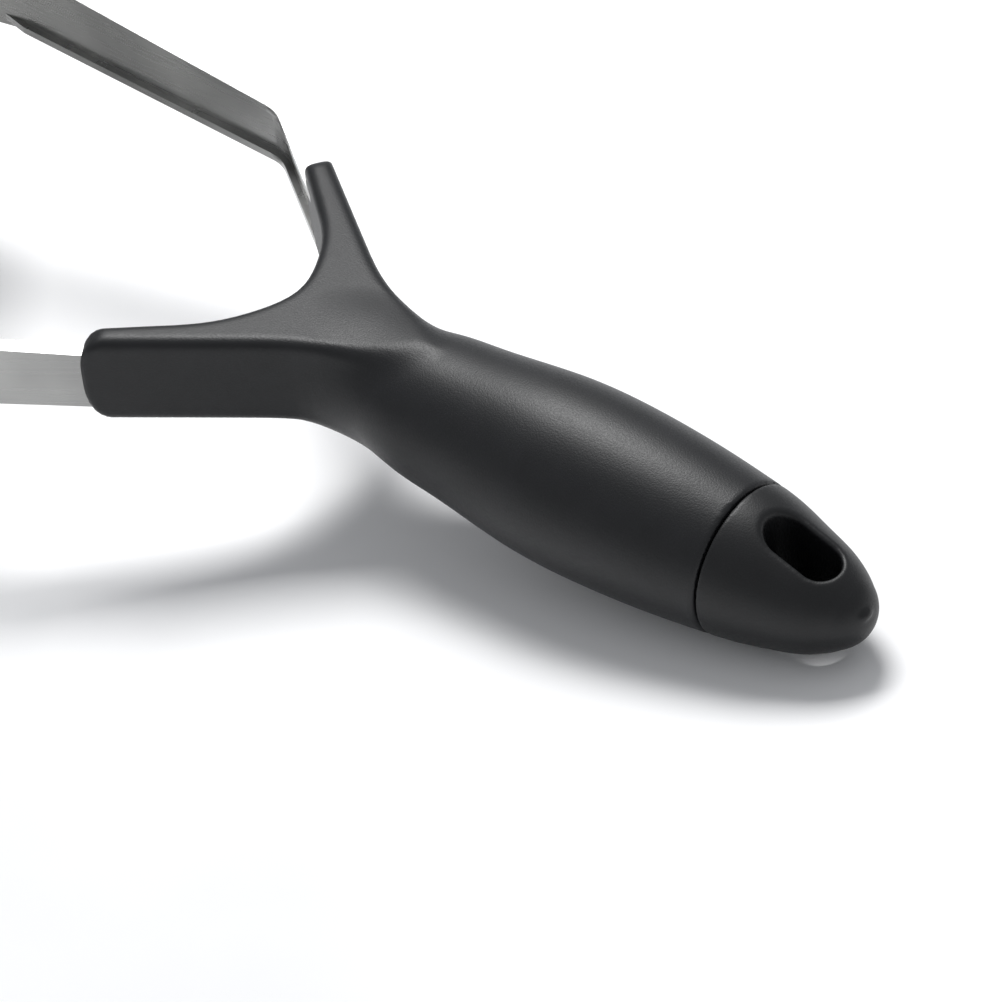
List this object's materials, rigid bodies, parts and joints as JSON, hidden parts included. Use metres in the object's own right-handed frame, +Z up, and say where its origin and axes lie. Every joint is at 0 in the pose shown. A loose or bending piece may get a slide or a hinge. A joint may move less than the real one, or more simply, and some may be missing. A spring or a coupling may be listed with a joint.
{
  "type": "potato ricer",
  "caption": "Hand press for cooked potato: a perforated steel cup between hinged channel-section levers, with black Y-shaped handles and a pivoting plunger.",
  "frame": {"origin": "middle of the cup's base, on the table", "axes": "+Z up along the cup, +X towards the lower handle, +Y to the left seen from the hinge, square to the levers' middle plane"},
  "size_m": [0.3476, 0.0919, 0.3881],
  "materials": {
    "steel": "brushed along the strip",
    "cup_steel": "satin",
    "bright_steel": "polished",
    "black_plastic": "satin with fine grain",
    "black_cap": "satin with fine grain",
    "nylon": "plain"
  },
  "bodies": {
    "lower_lever": {"lower_arm_left": "steel", "lower_arm_right": "steel", "lower_handle": "black_plastic", "lower_end_cap": "black_cap", "lower_cap_screw": "bright_steel", "lower_tang_rivets": "bright_steel", "cup": "cup_steel", "cup_seat_ring": "cup_steel", "seat_rivets": "bright_steel", "hinge_pin": "bright_steel", "hinge_cap_nut": "bright_steel", "hinge_washers": "nylon"},
    "upper_lever": {"upper_arm_left": "steel", "upper_arm_right": "steel", "upper_handle": "black_plastic", "upper_end_cap": "black_cap", "upper_cap_screw": "bright_steel", "upper_tang_rivets": "bright_steel", "hinge_sleeve": "bright_steel", "plunger_pin": "bright_steel", "plunger_pin_sleeves": "bright_steel"},
    "plunger": {"plunger_disc": "cup_steel", "plunger_bracket": "cup_steel", "plunger_rivets": "bright_steel", "plunger_bush": "nylon"}
  },
  "joints": [
    {"name": "lever_hinge", "type": "hinge", "parent": "lower_lever", "child": "upper_lever", "pos_m": [-0.07706, 0, 0.1026], "axis": [0, -1, 0], "range_deg": [-62.1, 6]},
    {"name": "plunger_pivot", "type": "hinge", "parent": "upper_lever", "child": "plunger", "pos_m": [-0.01578, 0, 0.15402], "axis": [0, -1, 0], "range_deg": [-6.1, 62.2]}
  ],
  "couplings": [
    {"joint": "plunger_pivot", "follows": "lever_hinge", "ratio": -1}
  ]
}
